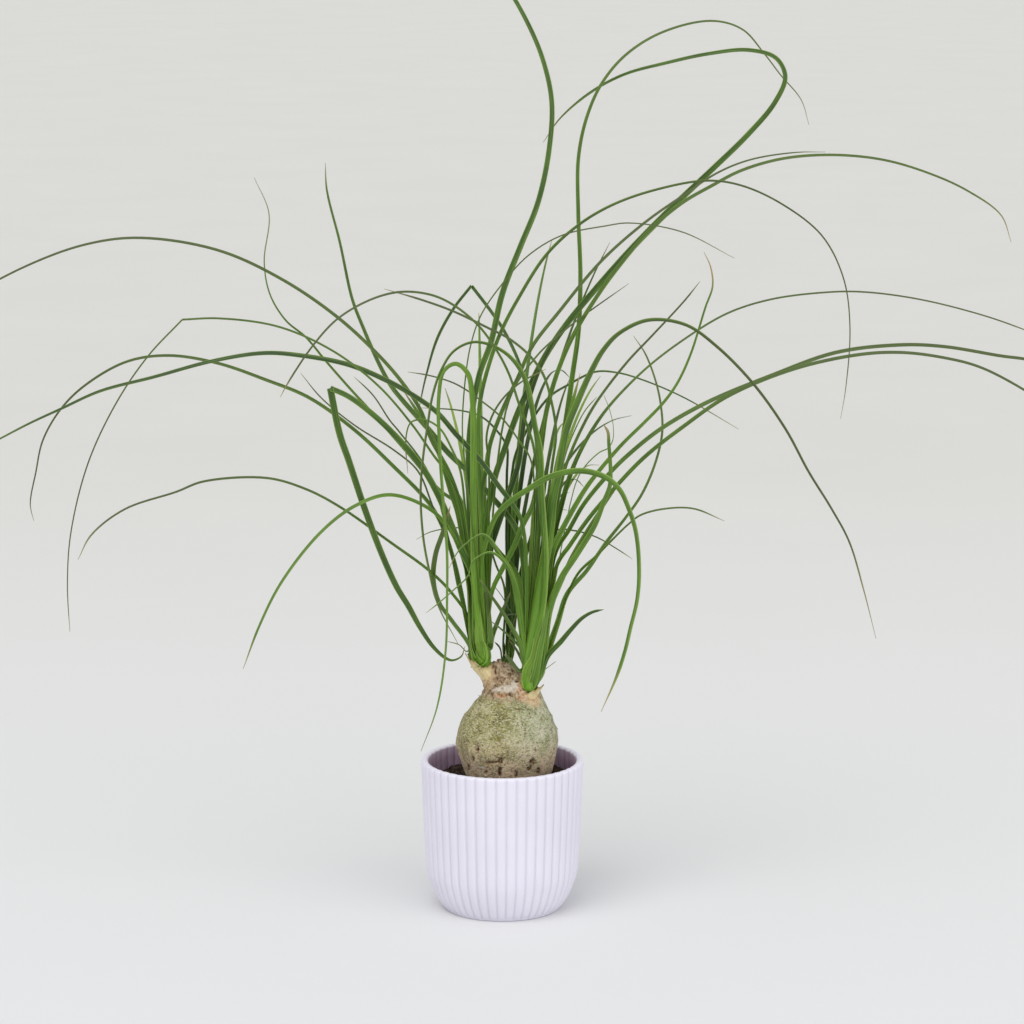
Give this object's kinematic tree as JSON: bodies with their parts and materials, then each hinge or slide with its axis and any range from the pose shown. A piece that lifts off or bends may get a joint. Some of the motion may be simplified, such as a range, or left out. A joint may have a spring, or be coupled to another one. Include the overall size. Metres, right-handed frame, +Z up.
{
  "type": "potted ponytail palm",
  "caption": "Ponytail palm house plant with a swollen trunk and long arching leaves, in a lilac ribbed pot filled with soil.",
  "frame": {"origin": "middle of the pot's flat base, on the pot's axis", "axes": "+Z up along the pot's axis, -Y towards the front view, +X to the right of the front view"},
  "size_m": [1.0307, 0.3271, 0.8331],
  "materials": {
    "pot_plastic": "satin",
    "soil": "matte",
    "bark": "matte",
    "dry_sheath": "matte",
    "leaf": "satin",
    "dark_leaf": "satin"
  },
  "bodies": {
    "root": {"pot": "pot_plastic", "soil": "soil", "trunk": "bark", "leaf_sheath_left": "dry_sheath", "leaf_sheath_right": "dry_sheath", "leaf_sheath_back": "dry_sheath", "leaf_crown_left": "leaf", "leaf_crown_right": "leaf", "leaf_crown_back": "dark_leaf"}
  },
  "joints": []
}
